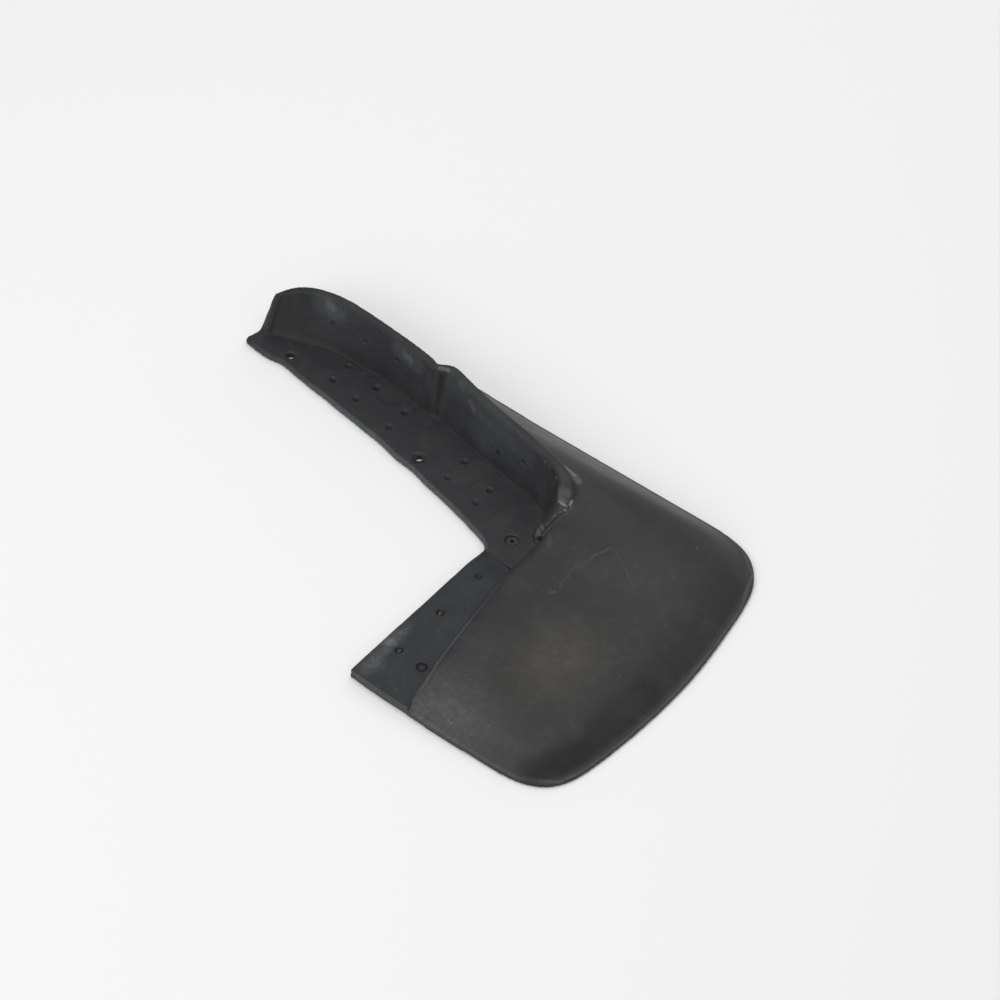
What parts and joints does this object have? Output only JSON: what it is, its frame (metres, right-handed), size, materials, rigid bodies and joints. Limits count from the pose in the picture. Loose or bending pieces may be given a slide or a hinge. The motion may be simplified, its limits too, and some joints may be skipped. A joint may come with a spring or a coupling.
{
  "type": "mud flap",
  "caption": "Moulded rubber mud flap for a truck wheel arch: flanged arm with a leaning arch wall, mounting leg and a pillow-shaped flexible blade.",
  "frame": {"origin": "axis of the corner mounting hole at the flange's mounting face", "axes": "+X outboard, +Y up the wheel arch, +Z rearward out of the show side; the mounting face is z = 0"},
  "size_m": [0.294, 0.4944, 0.0456],
  "materials": {
    "black_rubber": "satin moulded rubber with dust and scuffs",
    "leg_plastic": "matt filled plastic",
    "black_paint": "semi-matt black paint on steel",
    "rivet_steel": "dull zinc-plated steel",
    "bush_steel": "blackened steel"
  },
  "bodies": {
    "mounted_side": {"flap_body": "black_rubber", "leg_plate": "leg_plastic", "leg_backing_strip": "black_paint", "leg_rivets": "rivet_steel", "upper_hole_bush": "bush_steel", "middle_hole_bush": "bush_steel", "corner_hole_bush": "bush_steel"},
    "blade": {"flap_blade": "black_rubber"}
  },
  "joints": [
    {"name": "blade_flex", "type": "hinge", "parent": "mounted_side", "child": "blade", "pos_m": [0, -0.092, 0.0292], "axis": [-1, 0, 0], "range_deg": [0, 30], "stiffness_Nm_per_rad": 1.5}
  ]
}
